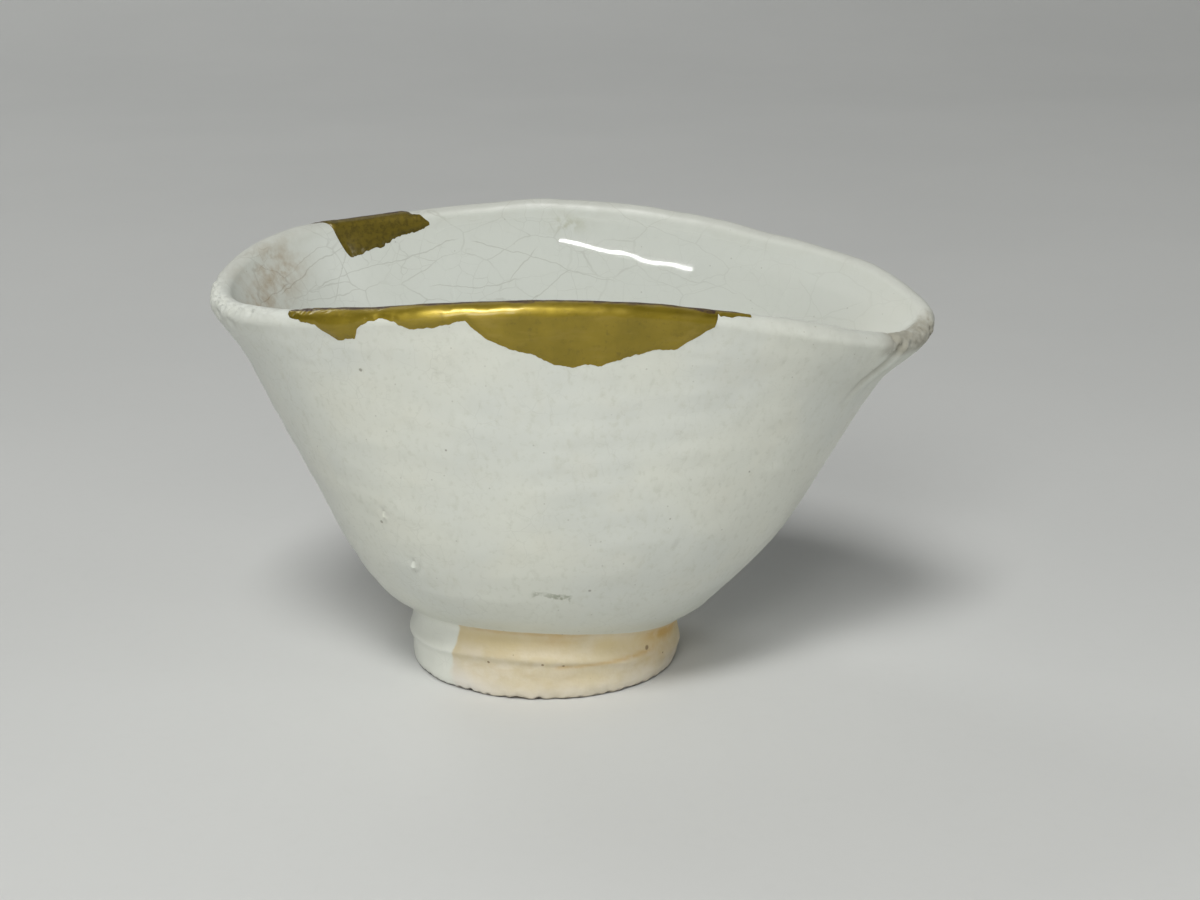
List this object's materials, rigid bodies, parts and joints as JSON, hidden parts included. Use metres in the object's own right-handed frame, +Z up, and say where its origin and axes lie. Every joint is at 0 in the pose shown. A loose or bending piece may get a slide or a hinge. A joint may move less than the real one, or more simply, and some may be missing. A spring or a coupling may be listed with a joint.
{
  "type": "porcelain sake cup",
  "caption": "Small footed drinking cup of crackled white porcelain, squeezed to a leaf-shaped mouth with one pointed corner, its chipped rim filled with gold lacquer.",
  "frame": {"origin": "on the standing surface, under the middle of the cup's own box; the foot ring's axis is 3.2 mm towards -X", "axes": "+Z up, +X along the mouth towards its pointed corner, -Y towards the side with the long gold fill"},
  "size_m": [0.0754, 0.0478, 0.0456],
  "materials": {
    "porcelain_glaze": "thin clear crackle glaze over greyish white porcelain, bare and flushed buff to orange on the foot",
    "gold_lacquer": "lacquer filler under rubbed gold powder, satin, dark olive gold"
  },
  "bodies": {
    "root": {"porcelain_cup": "porcelain_glaze", "gold_lacquer_fill_front_rim": "gold_lacquer", "gold_lacquer_fill_back_rim": "gold_lacquer"}
  },
  "joints": []
}
